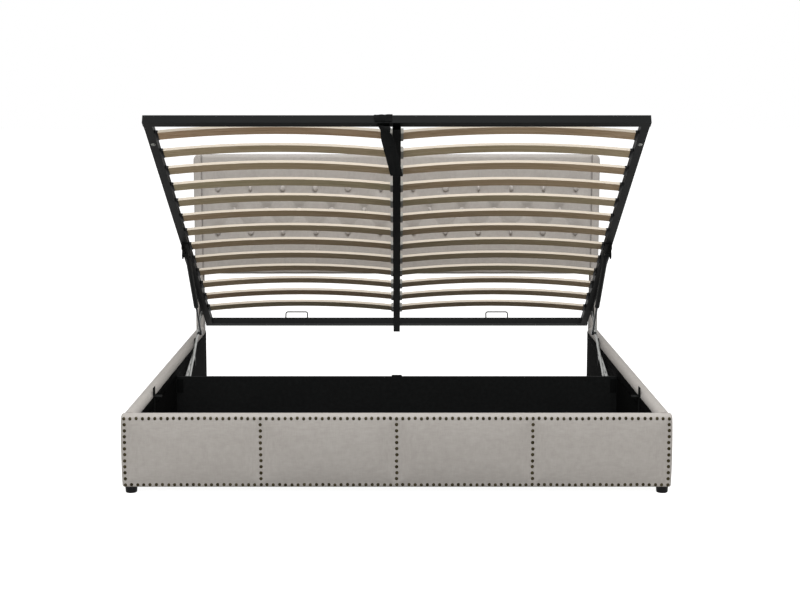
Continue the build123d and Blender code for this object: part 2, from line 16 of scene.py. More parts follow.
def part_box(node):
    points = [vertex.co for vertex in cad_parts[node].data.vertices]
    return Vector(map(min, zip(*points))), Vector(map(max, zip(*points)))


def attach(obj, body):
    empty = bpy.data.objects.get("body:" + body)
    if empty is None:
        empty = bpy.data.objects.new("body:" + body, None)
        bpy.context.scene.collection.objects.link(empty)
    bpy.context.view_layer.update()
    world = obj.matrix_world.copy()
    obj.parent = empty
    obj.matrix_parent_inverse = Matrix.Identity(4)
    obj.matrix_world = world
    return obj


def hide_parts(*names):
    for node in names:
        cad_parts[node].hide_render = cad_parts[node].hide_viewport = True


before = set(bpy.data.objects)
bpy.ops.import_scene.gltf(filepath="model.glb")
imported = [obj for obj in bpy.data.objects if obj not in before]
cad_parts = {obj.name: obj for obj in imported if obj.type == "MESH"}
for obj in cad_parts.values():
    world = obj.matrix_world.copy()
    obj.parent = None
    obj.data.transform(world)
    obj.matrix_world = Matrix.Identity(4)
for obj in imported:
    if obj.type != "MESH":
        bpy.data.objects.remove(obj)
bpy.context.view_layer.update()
random.seed(7)
mm = 0.001

# Places that the CAD model settles
foot_lo, foot_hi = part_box("footboard_cover")
rail_lo, rail_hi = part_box("right_rail_cover")
post_lo, post_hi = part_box("headboard_right_post")
pad_lo, pad_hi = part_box("headboard_pad")
foot_lining_lo, foot_lining_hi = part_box("footboard_lining")
tube_lo, tube_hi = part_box("foot_tube")

# Lifted deck: tilt, and the underside corner of its foot tube
deck_tilt = math.radians(30)
tube = 32 * mm
deck_along = Vector((0, math.cos(deck_tilt), -math.sin(deck_tilt)))
deck_normal = Vector((0, math.sin(deck_tilt), math.cos(deck_tilt)))
deck_corner = Vector((0, tube_lo.y, tube_hi.z - tube * math.cos(deck_tilt)))


# Materials
def colour(code, alpha=1.0):
    """Linear colour of an sRGB hex code such as "a1b2c3"."""
    parts = [int(code[i : i + 2], 16) / 255 for i in (0, 2, 4)]
    linear = [c / 12.92 if c <= 0.04045 else ((c + 0.055) / 1.055) ** 2.4 for c in parts]
    return (*linear, alpha)


def add_node(tree, kind, inputs=None, stops=(), **settings):
    """Adds one node with its settings, input values and links; stops are a colour ramp's (place, hex) pairs."""
    node = tree.nodes.new(kind)
    for key, value in settings.items():
        setattr(node, key, value)
    for key, value in (inputs or {}).items():
        if isinstance(value, bpy.types.NodeSocket):
            tree.links.new(value, node.inputs[key])
        else:
            node.inputs[key].default_value = value
    if stops:
        elements = node.color_ramp.elements
        while len(elements) < len(stops):
            elements.new(0.5)
        for element, (place, code) in zip(elements, stops):
            element.position = place
            element.color = colour(code)
    return node


def new_material(name, base, roughness=0.5, metallic=0.0, sheen=0.0, specular=0.5):
    """A material with one Principled shader; returns it, its tree and the shader."""
    made = bpy.data.materials.new(name)
    made.use_nodes = True
    tree = made.node_tree
    shader = tree.nodes["Principled BSDF"]
    shader.inputs["Base Color"].default_value = colour(base)
    shader.inputs["Roughness"].default_value = roughness
    shader.inputs["Metallic"].default_value = metallic
    shader.inputs["Sheen Weight"].default_value = sheen
    shader.inputs["Specular IOR Level"].default_value = specular
    return made, tree, shader


def stretched_noise(tree, pitch, detail=2.0):
    """Noise whose features are pitch millimetres along X, Y and Z."""
    where = add_node(tree, "ShaderNodeTexCoord").outputs["Object"]
    scale = tuple(1 / (size * mm) for size in pitch)
    placed = add_node(tree, "ShaderNodeMapping", {"Vector": where, "Scale": scale}).outputs[0]
    noise = {"Vector": placed, "Scale": 1.0, "Detail": detail}
    return add_node(tree, "ShaderNodeTexNoise", noise).outputs[0]


def mean_value(tree, values):
    """The mean of several value sockets."""
    total = values[0]
    for value in values[1:]:
        total = add_node(tree, "ShaderNodeMath", {0: total, 1: value}, operation="ADD").outputs[0]
    return add_node(tree, "ShaderNodeMath", {0: total, 1: 1 / len(values)}, operation="MULTIPLY").outputs[0]


def set_surface(tree, shader, tone=None, relief=None, gloss=None):
    """Links a tone socket, relief as (height, depth in mm, strength) and roughness as (value, low, high)."""
    if tone is not None:
        tree.links.new(tone, shader.inputs["Base Color"])
    if relief:
        height, depth, strength = relief
        values = {"Height": height, "Distance": depth * mm, "Strength": strength}
        bump = add_node(tree, "ShaderNodeBump", values)
        tree.links.new(bump.outputs[0], shader.inputs["Normal"])
    if gloss:
        value, low, high = gloss
        span = add_node(tree, "ShaderNodeMapRange", {"Value": value, "To Min": low, "To Max": high})
        tree.links.new(span.outputs[0], shader.inputs["Roughness"])


# Share of the cloudiness in a cloth's tone
cloudiness = 0.14


def woven(name, tones, thread, depth, sheen, strength=0.5, specular=0.15):
    """Plain-woven cloth with slubs in three tones: threads of thread millimetres, and a faint cloudiness."""
    dark, base, light = tones
    made, tree, shader = new_material(name, base, roughness=0.95, sheen=sheen, specular=specular)
    long = thread * 22
    pitches = ((long, long, thread), (thread, long, long), (long, thread, long))
    threads = mean_value(tree, [stretched_noise(tree, pitch) for pitch in pitches])
    cloud = stretched_noise(tree, (130, 130, 130), detail=3.0)
    both = {0: cloud, 1: cloudiness, 2: threads}
    shade = add_node(tree, "ShaderNodeMath", both, operation="MULTIPLY_ADD").outputs[0]
    centred = add_node(tree, "ShaderNodeMath", {0: shade, 1: cloudiness / 2}, operation="SUBTRACT").outputs[0]
    stops = [(0.38, dark), (0.5, base), (0.62, light)]
    tone = add_node(tree, "ShaderNodeValToRGB", {"Fac": centred}, stops).outputs[0]
    set_surface(tree, shader, tone, relief=(threads, depth, strength))
    return made


def coated_steel(name, base, roughness):
    """Coated steel with a fine orange peel."""
    made, tree, shader = new_material(name, base, roughness=roughness, specular=0.05)
    peel = stretched_noise(tree, (1.4, 1.4, 1.4))
    cloud = stretched_noise(tree, (160, 160, 160), detail=4.0)
    set_surface(tree, shader, relief=(peel, 0.05, 0.35), gloss=(cloud, roughness - 0.07, roughness + 0.09))
    return made


def plated_steel(name, dark, light, roughness):
    """Plated steel: metal with cloudy passivation and fine drawing lines."""
    made, tree, shader = new_material(name, light, roughness=roughness, metallic=1.0)
    cloud = stretched_noise(tree, (28, 28, 28), detail=5.0)
    drawn = stretched_noise(tree, (40, 0.5, 0.5))
    tone = add_node(tree, "ShaderNodeValToRGB", {"Fac": cloud}, [(0.35, dark), (0.65, light)]).outputs[0]
    set_surface(tree, shader, tone, gloss=(drawn, roughness - 0.08, roughness + 0.12))
    return made


def moulded(name, base, roughness):
    """Moulded plastic or rubber with a faint texture."""
    made, tree, shader = new_material(name, base, roughness=roughness, specular=0.1)
    grain = stretched_noise(tree, (0.9, 0.9, 0.9))
    cloud = stretched_noise(tree, (45, 45, 45))
    set_surface(tree, shader, relief=(grain, 0.06, 0.4), gloss=(cloud, roughness - 0.06, roughness + 0.08))
    return made


slat_rows = 13
slat_first, slat_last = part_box("slat_row_01"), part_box(f"slat_row_{slat_rows}")
slat_step = ((slat_last[0] - slat_first[0]).dot(deck_along)) / (slat_rows - 1)
# Thickness of a ply and width of the grain, in millimetres
ply = 2.2


def slat_wood(name):
    """Bent plywood: grain along the slat, plies on its edges, and a tone of its own for each half slat."""
    made, tree, shader = new_material(name, "b49e80", roughness=0.6, specular=0.06)
    where = add_node(tree, "ShaderNodeTexCoord").outputs["Object"]
    along, up, across = [
        add_node(tree, "ShaderNodeVectorMath", {0: where, 1: way}, operation="DOT_PRODUCT").outputs["Value"]
        for way in (tuple(deck_along), tuple(deck_normal), (1, 0, 0))
    ]
    number = add_node(tree, "ShaderNodeMath", {0: along, 1: slat_step}, operation="DIVIDE").outputs[0]
    row = add_node(tree, "ShaderNodeMath", {0: number}, operation="FLOOR").outputs[0]
    side = add_node(tree, "ShaderNodeMath", {0: across}, operation="SIGN").outputs[0]
    half = add_node(tree, "ShaderNodeCombineXYZ", {"X": row, "Y": side}).outputs[0]
    own = add_node(tree, "ShaderNodeTexWhiteNoise", {"Vector": half}, noise_dimensions="2D").outputs["Value"]
    grain = [stretched_noise(tree, (190, ply, ply), detail=4.0), stretched_noise(tree, (420, 9, 9))]
    figure = mean_value(tree, grain)
    olive_stops = [(0.36, "aca082"), (0.5, "bfb191"), (0.64, "ccbea0")]
    warm_stops = [(0.36, "a98a6e"), (0.5, "bd9f82"), (0.64, "ccb295")]
    olive = add_node(tree, "ShaderNodeValToRGB", {"Fac": figure}, olive_stops).outputs[0]
    warm = add_node(tree, "ShaderNodeValToRGB", {"Fac": figure}, warm_stops).outputs[0]
    face = add_node(tree, "ShaderNodeMix", {0: own, 6: olive, 7: warm}, data_type="RGBA").outputs[2]

    # The edge faces look along the deck; their pale plies run along the slat
    normal = add_node(tree, "ShaderNodeNewGeometry").outputs["True Normal"]
    looks = {0: normal, 1: tuple(deck_along)}
    facing = add_node(tree, "ShaderNodeVectorMath", looks, operation="DOT_PRODUCT").outputs["Value"]
    either = add_node(tree, "ShaderNodeMath", {0: facing}, operation="ABSOLUTE").outputs[0]
    edge = add_node(tree, "ShaderNodeMath", {0: either, 1: 0.7}, operation="GREATER_THAN").outputs[0]
    height = {0: up, 1: 2 * math.pi / (ply * mm)}
    layers = add_node(tree, "ShaderNodeMath", height, operation="MULTIPLY").outputs[0]
    wave = add_node(tree, "ShaderNodeMath", {0: layers}, operation="SINE").outputs[0]
    plies = add_node(tree, "ShaderNodeValToRGB", {"Fac": wave}, [(0.0, "cabfae"), (1.0, "ded5c7")]).outputs[0]
    tone = add_node(tree, "ShaderNodeMix", {0: edge, 6: face, 7: plies}, data_type="RGBA").outputs[2]
    set_surface(tree, shader, tone, relief=(figure, 0.12, 0.35), gloss=(figure, 0.52, 0.7))
    return made


def black_backed(made):
    """Makes a cloth black on the faces that look to the back, as the cloth stapled there is."""
    tree = made.node_tree
    shader = tree.nodes["Principled BSDF"]
    front = shader.inputs["Base Color"].links[0].from_socket
    normal = add_node(tree, "ShaderNodeNewGeometry").outputs["True Normal"]
    looks = {0: normal, 1: (0, 1, 0)}
    facing = add_node(tree, "ShaderNodeVectorMath", looks, operation="DOT_PRODUCT").outputs["Value"]
    back = add_node(tree, "ShaderNodeMath", {0: facing, 1: 0.5}, operation="GREATER_THAN").outputs[0]
    colours = {0: back, 6: front, 7: colour("0b0b0b")}
    tone = add_node(tree, "ShaderNodeMix", colours, data_type="RGBA").outputs[2]
    set_surface(tree, shader, tone)
    return made


greige = ("a49f9a", "aaa5a0", "b0aca7")

# Greige linen-look polyester of the boards
linen = woven("linen-look polyester", greige, 1.1, 0.25, 0.12)
# The same cloth wrapped over the headboard's edges, with black cloth on its back
wrapped = black_backed(woven("linen-look cloth over board", greige, 1.1, 0.25, 0.12))
# Black non-woven cloth inside the box
lining = woven("black non-woven cloth", ("070707", "0b0b0b", "101010"), 0.8, 0.25, 0.0, 0.5, 0.02)
# Black-faced board of the divider and floor
board = woven("black faced board", ("0c0d0d", "121313", "181919"), 0.7, 0.12, 0.0, 0.3, 0.15)
# Black nylon webbing of the pull strap
webbing = woven("black nylon webbing", ("080909", "0c0d0d", "121212"), 1.6, 0.5, 0.02, 0.8, 0.08)
# Satin black powder coat of the deck frame
black_steel = coated_steel("black powder coat", "141515", 0.48)
# Matt black coat of the brackets, beam and retainers: no glints. Its base is darker than the frame's powder
# coat; that extra darkness is painted shade, for the beam that lies in shade under the deck
shade_darkened_matt_coat = coated_steel("shade-darkened matt black coat", "0b0c0c", 0.78)
# Dull grey zinc plate of the lift's plates, front links and bolts
zinc = plated_steel("zinc-plated steel", "6c6d6a", "8e8f8c", 0.4)
# Black nitrided piston rod, ground smooth
rod_steel = plated_steel("nitrided piston rod", "232425", "343637", 0.3)
# Antique bronze nail heads, nearly black with a brown gleam
bronze = plated_steel("antique bronze", "242015", "393427", 0.42)
# Black moulded plastic of glides, caps and sleeves
plastic = moulded("black moulded plastic", "0e0e0f", 0.5)
# Grey moulded plastic of the clips on the centre beam
grey_plastic = moulded("grey moulded plastic", "9c9a94", 0.5)
# Dull black rubber of the rest pad
rubber = moulded("black rubber", "101010", 0.8)
# Bent beech plywood of the slats, some olive and some warm
beech = slat_wood("bent beech plywood")


# Mesh helpers
def new_object(name, mesh, finish, smooth=True):
    """A mesh object with one finish, put in the scene."""
    made = bpy.data.objects.new(name, mesh)
    bpy.context.scene.collection.objects.link(made)
    mesh.materials.clear()
    mesh.materials.append(finish)
    for face in mesh.polygons:
        face.use_smooth = smooth
    return made


def from_faces(name, points, faces, finish, smooth=True):
    """A mesh object from points and faces, with its normals made to point out."""
    mesh = bpy.data.meshes.new(name)
    mesh.from_pydata([tuple(p) for p in points], [], faces)
    shape = bmesh.new()
    shape.from_mesh(mesh)
    bmesh.ops.recalc_face_normals(shape, faces=shape.faces)
    shape.to_mesh(mesh)
    shape.free()
    return new_object(name, mesh, finish, smooth)


def finish_piece(piece, body, slot, *nodes):
    """Attaches a finished piece to the body it rides on and hides the CAD nodes it stands for; slot is not
    used.
    """
    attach(piece, body)
    if nodes:
        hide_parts(*nodes)


def steps(start, end, size):
    """Places from start to end, about size apart, both ends included."""
    count = max(1, round(abs(end - start) / size))
    return [start + (end - start) * i / count for i in range(count + 1)]


def dense_steps(start, end, size, edge):
    """Like steps, with extra places within edge of both ends."""
    near = [edge * share for share in (0, 0.05, 0.15, 0.3, 0.5, 0.75)]
    middle = steps(start + edge, end - edge, size)
    return [start + n for n in near] + middle + [end - n for n in reversed(near)]


def round_inset(distance, radius):
    """How far a rounded edge falls back at a distance from its end."""
    if distance >= radius:
        return 0.0
    return radius - math.sqrt(max(0.0, radius**2 - (radius - distance) ** 2))


def bake(source, name, finish):
    """The evaluated mesh of source as a new object; source is removed."""
    graph = bpy.context.evaluated_depsgraph_get()
    mesh = bpy.data.meshes.new_from_object(source.evaluated_get(graph))
    bpy.data.objects.remove(source)
    mesh.name = name
    return new_object(name, mesh, finish)


def scatter(name, places, stamp, finish, size=1.0):
    """One mesh of a stamp at places, each a (point, turn) pair, by Geometry Nodes; the stamp is used up."""
    mesh = bpy.data.meshes.new(name)
    mesh.from_pydata([tuple(point) for point, turn in places], [], [])
    turns = mesh.attributes.new("turn", "FLOAT_VECTOR", "POINT")
    for value, (point, turn) in zip(turns.data, places):
        value.vector = turn
    host = bpy.data.objects.new(name, mesh)
    bpy.context.scene.collection.objects.link(host)

    tree = bpy.data.node_groups.new(name, "GeometryNodeTree")
    tree.interface.new_socket("Geometry", in_out="INPUT", socket_type="NodeSocketGeometry")
    stamp_input = tree.interface.new_socket("Stamp", in_out="INPUT", socket_type="NodeSocketObject")
    size_input = tree.interface.new_socket("Size", in_out="INPUT", socket_type="NodeSocketFloat")
    tree.interface.new_socket("Geometry", in_out="OUTPUT", socket_type="NodeSocketGeometry")
    source = tree.nodes.new("NodeGroupInput")
    picked = add_node(tree, "GeometryNodeObjectInfo", {"Object": source.outputs[1]})
    turned = add_node(tree, "GeometryNodeInputNamedAttribute", {"Name": "turn"}, data_type="FLOAT_VECTOR")
    placing = {
        "Points": source.outputs[0],
        "Instance": picked.outputs["Geometry"],
        "Rotation": turned.outputs[0],
        "Scale": source.outputs[2],
    }
    copies = add_node(tree, "GeometryNodeInstanceOnPoints", placing)
    real = add_node(tree, "GeometryNodeRealizeInstances", {0: copies.outputs[0]})
    painted = add_node(tree, "GeometryNodeSetMaterial", {"Geometry": real.outputs[0], "Material": finish})
    end = tree.nodes.new("NodeGroupOutput")
    tree.links.new(painted.outputs[0], end.inputs[0])

    modifier = host.modifiers.new(name, "NODES")
    modifier.node_group = tree
    modifier[stamp_input.identifier] = stamp
    modifier[size_input.identifier] = size
    made = bake(host, name, finish)
    bpy.data.objects.remove(stamp)
    return made


def ring_faces(rings, count, order=None):
    """Faces between rings of count points each, closed at both ends; order is the way round a ring."""
    order = list(order or range(count))
    faces = []
    for row in range(rings - 1):
        a, b = row * count, (row + 1) * count
        for i, j in zip(order, order[1:] + order[:1]):
            faces.append((a + i, a + j, b + j, b + i))
    faces.append(tuple(order[::-1]))
    faces.append(tuple((rings - 1) * count + i for i in order))
    return faces


def lathe(name, profile, finish, sides):
    """A turned stamp about +Z from (radius, height) points; the first and last close it."""
    points = []
    for radius, height in profile:
        for i in range(sides):
            turn = 2 * math.pi * i / sides
            points.append((radius * math.cos(turn), radius * math.sin(turn), height))
    return from_faces(name, points, ring_faces(len(profile), sides), finish)


def dome(height, rings, rim):
    """Profile of a domed head of radius 1 on a short rim, for lathe."""
    profile = [(0.6, -height * 0.6), (1.0, -height * 0.3), (1.0, rim)]
    for i in range(1, rings + 1):
        angle = math.pi / 2 * i / rings
        profile.append((max(math.cos(angle), 0.03), rim + height * math.sin(angle)))
    return profile


# Cover cloth pressed out by its foam
cover_cloth = {
    "quality": 2,
    "mass": 0.25,
    "tension_stiffness": 12,
    "compression_stiffness": 12,
    "shear_stiffness": 4,
    "bending_stiffness": 0.3,
    "use_pressure": True,
    "uniform_pressure_force": 4.0,
}
cover_frames = 14


def puff_up(piece, free, cap):
    """Lets a cover's free points swell as cloth over foam, held at all the others, by no more than cap."""
    # Only the faces round free points take part
    mesh = piece.data
    faces = [tuple(face.vertices) for face in mesh.polygons if not free.isdisjoint(face.vertices)]
    used = sorted({index for face in faces for index in face})
    number = {index: i for i, index in enumerate(used)}
    before = np.array([mesh.vertices[index].co for index in used])
    part_mesh = bpy.data.meshes.new("cover part")
    part_mesh.from_pydata(before.tolist(), [], [tuple(number[index] for index in face) for face in faces])
    part = bpy.data.objects.new("cover part", part_mesh)
    bpy.context.scene.collection.objects.link(part)
    held = part.vertex_groups.new(name="held")
    held.add([number[index] for index in used if index not in free], 1.0, "ADD")
    cloth = part.modifiers.new("cover", "CLOTH")
    cloth.settings.vertex_group_mass = held.name
    for key, value in cover_cloth.items():
        setattr(cloth.settings, key, value)
    cloth.settings.effector_weights.gravity = 0
    cloth.collision_settings.use_collision = False
    cloth.point_cache.frame_start, cloth.point_cache.frame_end = 1, cover_frames
    for moment in range(1, cover_frames + 1):
        bpy.context.scene.frame_set(moment)
    swollen = part.evaluated_get(bpy.context.evaluated_depsgraph_get()).to_mesh()
    after = np.array([vertex.co for vertex in swollen.vertices])
    bpy.data.objects.remove(part)
    bpy.context.scene.frame_set(1)
    move = after - before
    length = np.maximum(np.linalg.norm(move, axis=1, keepdims=True), 1e-9)
    move *= np.tanh(length / cap) * cap / length
    for index, place in zip(used, before + move):
        mesh.vertices[index].co = place
    mesh.update()


# Boards: one padded cover swept along each, its inner face sunk by recess where the lining lies
edge_radius = 8 * mm
inner_radius = 14 * mm
recess = 4.6 * mm
top_crown = 9 * mm
end_bulge = 2.5 * mm
bulge_reach = 25 * mm


def quarter_turn(start, count):
    """Normals round a quarter circle, clockwise from start degrees."""
    for i in range(count):
        angle = math.radians(start - 90 * i / (count - 1))
        yield math.cos(angle), math.sin(angle)


def cover_profile(thickness, low, high, lining_low, lining_high):
    """Section of a cover from the bottom round to the inside, as (depth, height, normal, on the outer face)."""
    ring = []

    def put(depth, height, normal, outer=False):
        ring.append((depth, height, normal, outer))

    def put_top(depth, height, normal):
        put(depth, height + top_crown * math.sin(math.pi * depth / thickness), normal)

    for out, up in quarter_turn(270, 5):
        put(edge_radius * (1 + out), low + edge_radius * (1 + up), (out, up))
    for height in steps(low + edge_radius, high - edge_radius, 6.5 * mm)[1:-1]:
        put(0, height, (-1, 0), True)
    for out, up in quarter_turn(180, 6):
        put_top(edge_radius * (1 + out), high - edge_radius * (1 - up), (out, up))
    for depth in steps(edge_radius, thickness - inner_radius, 5 * mm)[1:-1]:
        put_top(depth, high, (0, 1))
    for out, up in quarter_turn(90, 7):
        put_top(thickness - inner_radius * (1 - out), high - inner_radius * (1 - up), (out, up))
    put(thickness, (high + lining_high) / 2, (1, 0))
    sunk = thickness - recess
    put(thickness, lining_high, (1, 0))
    put(sunk, lining_high, (1, 0))
    put(sunk, lining_low, (1, 0))
    put(thickness, lining_low, (1, 0))
    put(thickness, low, (0, -1))
    put(thickness / 2, low, (0, -1))
    return ring


def sweep_cover(name, ring, stations, end_radius, place, puff, bulges=False):
    """Sweeps a cover's section over stations; place maps (station, depth, height) to a point."""
    first, last = stations[0], stations[-1]
    points = []
    for station in stations:
        to_end = min(station - first, last - station)
        inset = round_inset(to_end, end_radius)
        near_end = max(0.0, 1 - to_end / bulge_reach)
        out = end_bulge * near_end**2 * (1 if station > (first + last) / 2 else -1)
        for depth, height, normal, outer in ring:
            swell = puff(station, height) if outer else 0.0
            share = (height - foot_lo.z) / (foot_hi.z - foot_lo.z)
            bulge = out * max(0.0, 1 - (2 * share - 1) ** 2) if bulges else 0.0
            points.append(
                place(station + bulge, depth - normal[0] * inset - swell, height - normal[1] * inset)
            )
    return from_faces(name, points, ring_faces(len(stations), len(ring)), linen)


# Nailhead trim: rows near the top and bottom edges, and five columns
nail_radius = 6.8 * mm
nail_height = 3.0 * mm
nail_top = foot_hi.z - 7.0 * mm
nail_bottom = foot_lo.z + 9.5 * mm
nail_side = foot_hi.x - 12.0 * mm
nails_across = 88
nails_down = 11
nail_quarter = nails_across // 4
nail_lean = math.radians(14)
nail_grip = 4.5 * mm

nail_places = []
for i in range(nails_across + 1):
    x = -nail_side + 2 * nail_side * i / nails_across
    for height in (nail_top, nail_bottom):
        nail_places.append((x, height))
    if i % nail_quarter == 0:
        for j in range(1, nails_down):
            nail_places.append((x, nail_bottom + (nail_top - nail_bottom) * j / nails_down))
# Set by hand: each nail strays by up to 0.9 mm
nail_places = [
    (x + random.uniform(-1, 1) * 0.9 * mm, z + random.uniform(-1, 1) * 0.9 * mm) for x, z in nail_places
]
nail_array = np.array(nail_places)


def nearest_nail(x, z):
    """Square of the distance from a place on the foot board's face to the nearest nail."""
    return float(((nail_array - (x, z)) ** 2).sum(axis=1).min())


# Rise of the panels, pull of each nail and ripple of the cloth, in millimetres
panel_rise, nail_pull, cloth_ripple = 4.2, 1.9, 0.2


def footboard_puff(x, z):
    """How far the foot board's face stands out: soft panels between the nail lines, drawn in at each nail."""
    columns = [abs(x - nail_side * k / 2) for k in range(-2, 3)]
    line = min(*columns, nail_top - z, z - nail_bottom)
    soft = 1 - math.exp(-((max(line, 0) / (30 * mm)) ** 1.4))
    pull = math.exp(-((math.sqrt(nearest_nail(x, z)) / (9 * mm)) ** 2))
    ripple = cloth_ripple * math.sin(x / (61 * mm) + 1.7 * math.sin(z / (47 * mm)))
    return (panel_rise * soft - nail_pull * pull + ripple * soft) * mm


foot_ring = cover_profile(foot_hi.y - foot_lo.y, foot_lo.z, foot_hi.z, foot_lining_lo.z, foot_lining_hi.z)
footboard = sweep_cover(
    "footboard_cover_padded",
    foot_ring,
    dense_steps(foot_lo.x, foot_hi.x, 6 * mm, 16 * mm),
    edge_radius,
    lambda x, depth, height: (x, foot_lo.y + depth, height),
    footboard_puff,
    bulges=True,
)
free_points = set()
for vertex in footboard.data.vertices:
    x, y, z = vertex.co
    on_face = y < foot_lo.y + 0.5 * mm and nail_bottom < z < nail_top and abs(x) < nail_side
    if on_face and nearest_nail(x, z) > nail_grip**2:
        free_points.add(vertex.index)
puff_up(footboard, free_points, 3.5 * mm)
finish_piece(footboard, "base", "upholstery_fabric", "footboard_cover")

# The stamp has radius 1; scatter gives it the nail's own
nail_stamp = lathe("nail stamp", dome(nail_height / nail_radius, rings=4, rim=0.06), bronze, sides=12)
nail_seats = []
for x, z in nail_places:
    back = round_inset(foot_hi.z - z, edge_radius)
    lean = nail_lean if back > 0 else 0.0
    point = (x, foot_lo.y - footboard_puff(x, z) + back, z)
    nail_seats.append((point, (math.radians(90) - lean, random.uniform(-0.06, 0.06), 0)))
nails = scatter("nailhead_trim", nail_seats, nail_stamp, bronze, size=nail_radius)
finish_piece(nails, "base", "zinc_steel")


def rail_puff(y, z):
    """A soft crown along a rail's outer face, with shallow ripples."""
    share = (z - rail_lo.z) / (rail_hi.z - rail_lo.z)
    crown = 1 - abs(2 * share - 1) ** 3
    ends = min(y - rail_lo.y, rail_hi.y - y) / (60 * mm)
    ripple = 0.3 * math.sin(y / (140 * mm) + 2 * share)
    return (2.6 * crown * min(1, ends) + ripple * min(1, ends)) * mm


rail_ring = cover_profile(rail_hi.x - rail_lo.x, rail_lo.z, rail_hi.z, foot_lining_lo.z, foot_lining_hi.z)
for name, side in (("left", -1), ("right", 1)):
    rail = sweep_cover(
        f"{name}_rail_cover_padded",
        rail_ring,
        dense_steps(rail_lo.y, rail_hi.y, 18 * mm, 8 * mm),
        3 * mm,
        lambda y, depth, height, side=side: (side * (rail_hi.x - depth), y, height),
        rail_puff,
    )
    finish_piece(rail, "base", "upholstery_fabric", f"{name}_rail_cover")


# Lining hems: the black cloth's turned edge, stapled to each rail below its padded top
hem_top = rail_hi.z - 15 * mm
hem_low = foot_lining_hi.z - 6 * mm
hem_rows = 5


def lining_hem(name, side):
    """A thin strip along a rail's inner face, with the slight waves of stapled cloth."""
    points = []
    places = steps(rail_lo.y + 2 * mm, rail_hi.y - 2 * mm, 22 * mm)
    for y in places:
        wave = 0.5 * mm * math.sin(y / (37 * mm)) + 0.3 * mm * math.sin(y / (17 * mm))
        for proud, ripple in ((0.9 * mm, 0.4 * mm), (-1.2 * mm, 0)):
            for i in range(hem_rows):
                share = i / (hem_rows - 1)
                z = hem_low + (hem_top + wave - hem_low) * share
                x = rail_lo.x - proud - ripple * math.sin(y / (29 * mm) + 3 * share)
                points.append((side * x, y, z))
    # Up the front layer and down the back one
    way_round = list(range(hem_rows)) + list(range(2 * hem_rows - 1, hem_rows - 1, -1))
    hem = from_faces(name, points, ring_faces(len(places), 2 * hem_rows, way_round), lining)
    finish_piece(hem, "base", "lining_cloth")


lining_hem("left_lining_hem", -1)
lining_hem("right_lining_hem", 1)


# Headboard posts: padded blocks with rounded edges
def padded_block(name, low, high, radius, size, swell, finish, corner):
    """A closed block with rounded edges whose faces swell; corner moves each point last."""
    axes = [dense_steps(low[k], high[k], size, radius) for k in range(3)]
    shape = bmesh.new()
    cache = {}

    def vertex(i, j, k):
        key = (i, j, k)
        if key not in cache:
            p = Vector((axes[0][i], axes[1][j], axes[2][k]))
            core = Vector([min(max(p[m], low[m] + radius), high[m] - radius) for m in range(3)])
            out = p - core
            if out.length > 1e-9:
                p = core + out.normalized() * radius
                p += out.normalized() * swell(p, out.normalized())
            cache[key] = shape.verts.new(corner(p))
        return cache[key]

    n = [len(a) - 1 for a in axes]
    for fixed in range(3):
        u, v = [m for m in range(3) if m != fixed]
        for end in (0, n[fixed]):
            for a in range(n[u]):
                for b in range(n[v]):
                    corners = []
                    for da, db in ((0, 0), (1, 0), (1, 1), (0, 1)):
                        index = [0, 0, 0]
                        index[fixed], index[u], index[v] = end, a + da, b + db
                        corners.append(vertex(*index))
                    shape.faces.new(corners)
    bmesh.ops.recalc_face_normals(shape, faces=shape.faces)
    mesh = bpy.data.meshes.new(name)
    shape.to_mesh(mesh)
    shape.free()
    return new_object(name, mesh, finish)


post_corner = 26 * mm
for name, side in (("left", -1), ("right", 1)):
    low = Vector((min(side * post_lo.x, side * post_hi.x), post_lo.y, post_lo.z))
    high = Vector((max(side * post_lo.x, side * post_hi.x), post_hi.y, post_hi.z))
    outer = side * post_hi.x

    def round_corner(p, outer=outer, side=side):
        """Rounds the post's outer top corner, seen from the front."""
        centre = Vector((outer - side * post_corner, 0, post_hi.z - post_corner))
        reach = Vector((p.x - centre.x, 0, p.z - centre.z))
        if side * reach.x <= 0 or reach.z <= 0 or reach.length <= 1e-9:
            return p
        limit = max(abs(reach.x), abs(reach.z))
        return Vector((
            centre.x + reach.x / reach.length * limit,
            p.y,
            centre.z + reach.z / reach.length * limit,
        ))

    def post_swell(p, normal, low=low, high=high):
        """How far a post's face stands out: a soft crown on its front, and slight waves."""
        middle = 1 - abs(2 * (p.x - low.x) / (high.x - low.x) - 1) ** 2
        return (1.2 * max(0, -normal.y) * max(0.0, middle) + 0.2 * math.sin(p.z / (90 * mm))) * mm

    post = padded_block(f"{name}_post_padded", low, high, 7 * mm, 14 * mm, post_swell, linen, round_corner)
    finish_piece(post, "base", "upholstery_fabric", f"headboard_{name}_post")

# Headboard pad: deep buttoning with diagonal folds between the rows and straight folds to the edges
button_columns = 12
button_rows = 3
button_pitch = 163 * mm
button_row_pitch = 109 * mm
button_top = 1001 * mm
button_radius = 15.3 * mm
button_proud = 6.5 * mm
button_grip = 22 * mm
edge_grip = 20 * mm
tuft_depth = 11 * mm

buttons = []
for row in range(button_rows):
    count = button_columns - row % 2
    for column in range(count):
        buttons.append((row, (column - (count - 1) / 2) * button_pitch, button_top - row * button_row_pitch))

folds = []
for row, x, z in buttons:
    if row == 0:
        folds.append(((x, z), (x, pad_hi.z)))
    if row == button_rows - 1:
        folds.append(((x, z), (x, pad_lo.z)))
    for other_row, other_x, other_z in buttons:
        if other_row == row + 1 and abs(other_x - x) < button_pitch * 0.6:
            folds.append(((x, z), (other_x, other_z)))

